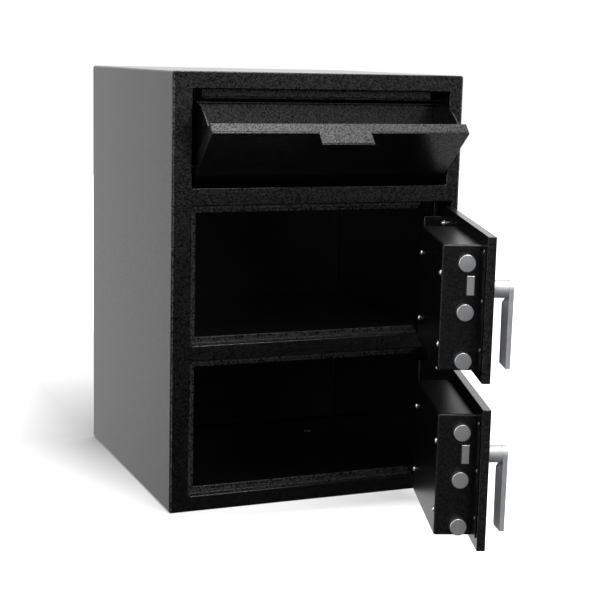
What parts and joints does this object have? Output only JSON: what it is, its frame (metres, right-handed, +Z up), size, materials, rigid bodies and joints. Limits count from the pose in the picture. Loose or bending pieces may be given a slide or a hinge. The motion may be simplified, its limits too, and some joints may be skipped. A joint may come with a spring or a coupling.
{
  "type": "drop safe",
  "caption": "Black steel drop safe: a tilting deposit hopper with a finger tab over two hinged doors, each with round bolts, a lever handle and a keypad lock.",
  "frame": {"origin": "centre of the underside, at floor level", "axes": "+X to the right seen from the front, +Y to the back, +Z up"},
  "size_m": [0.508, 0.8945, 0.711],
  "materials": {
    "black_paint": "fine-textured black powder coat, semi-gloss",
    "inner_paint": "thin black powder coat on the inside",
    "zinc_steel": "zinc plated, dull",
    "dark_plastic": "moulded, matte",
    "grey_rubber": "matte key mat",
    "satin_steel": "turned and satin finished",
    "bright_steel": "satin chrome on zinc casting"
  },
  "bodies": {
    "safe": {"body_wrap": "black_paint", "back_panel": "black_paint", "front_frame": "black_paint", "compartment_shelf": "inner_paint", "hopper_floor": "inner_paint", "hopper_side_left": "inner_paint", "hopper_side_right": "inner_paint", "hopper_baffle": "black_paint", "lower_door_seat": "black_paint", "lower_hinge_lug_bottom": "black_paint", "lower_hinge_lug_top": "black_paint", "lower_hinge_pin_bottom": "black_paint", "lower_hinge_pin_top": "black_paint", "upper_door_seat": "black_paint", "upper_hinge_lug_bottom": "black_paint", "upper_hinge_lug_top": "black_paint", "upper_hinge_pin_bottom": "black_paint", "upper_hinge_pin_top": "black_paint"},
    "hopper": {"hopper_skin": "black_paint", "hopper_pan": "black_paint", "hopper_sector_left": "black_paint", "hopper_sector_right": "black_paint", "hopper_rear_plate": "black_paint", "hopper_pivot_left": "black_paint", "hopper_pivot_right": "black_paint"},
    "lower_door": {"lower_door_plate": "black_paint", "lower_boltwork_cover": "black_paint", "lower_hinge_block_top": "black_paint", "lower_hinge_block_bottom": "black_paint", "lower_lock_case": "zinc_steel", "lower_keypad_housing": "dark_plastic", "lower_keypad_face": "grey_rubber", "lower_handle_rosette": "satin_steel"},
    "lower_boltwork": {"lower_bolt_carriage": "zinc_steel", "lower_bolt_top": "satin_steel", "lower_bolt_middle": "satin_steel", "lower_bolt_bottom": "satin_steel", "lower_flat_bolt": "satin_steel"},
    "lower_handle": {"lower_handle_lever": "bright_steel", "lower_spindle_crank": "zinc_steel"},
    "upper_door": {"upper_door_plate": "black_paint", "upper_boltwork_cover": "black_paint", "upper_hinge_block_top": "black_paint", "upper_hinge_block_bottom": "black_paint", "upper_lock_case": "zinc_steel", "upper_keypad_housing": "dark_plastic", "upper_keypad_face": "grey_rubber", "upper_handle_rosette": "satin_steel"},
    "upper_boltwork": {"upper_bolt_carriage": "zinc_steel", "upper_bolt_top": "satin_steel", "upper_bolt_middle": "satin_steel", "upper_bolt_bottom": "satin_steel", "upper_flat_bolt": "satin_steel"},
    "upper_handle": {"upper_handle_lever": "bright_steel", "upper_spindle_crank": "zinc_steel"}
  },
  "joints": [
    {"name": "hopper_tilt", "type": "hinge", "parent": "safe", "child": "hopper", "pos_m": [0.0045, -0.2205, 0.56], "axis": [1, 0, 0], "range_deg": [-48.5, 0]},
    {"name": "lower_door_swing", "type": "hinge", "parent": "safe", "child": "lower_door", "pos_m": [0.224, -0.2248, 0.138], "axis": [0, 0, 1], "range_deg": [-71, 0]},
    {"name": "lower_bolt_throw", "type": "slide", "parent": "lower_door", "child": "lower_boltwork", "axis": [-0.3256, -0.9455, 0], "range_m": [0, 0.04]},
    {"name": "lower_handle_turn", "type": "hinge", "parent": "lower_door", "child": "lower_handle", "pos_m": [0.12761, -0.57447, 0.158], "axis": [0.9455, -0.3256, 0], "range_deg": [0, 90]},
    {"name": "upper_door_swing", "type": "hinge", "parent": "safe", "child": "upper_door", "pos_m": [0.224, -0.2248, 0.388], "axis": [0, 0, 1], "range_deg": [-70.5, 0]},
    {"name": "upper_bolt_throw", "type": "slide", "parent": "upper_door", "child": "upper_boltwork", "axis": [-0.3338, -0.9426, 0], "range_m": [0, 0.04]},
    {"name": "upper_handle_turn", "type": "hinge", "parent": "upper_door", "child": "upper_handle", "pos_m": [0.12456, -0.57361, 0.408], "axis": [0.9426, -0.3338, 0], "range_deg": [0, 90]}
  ],
  "couplings": [
    {"joint": "lower_bolt_throw", "follows": "lower_handle_turn", "m_per_rad": 0.02546},
    {"joint": "upper_bolt_throw", "follows": "upper_handle_turn", "m_per_rad": 0.02546}
  ]
}
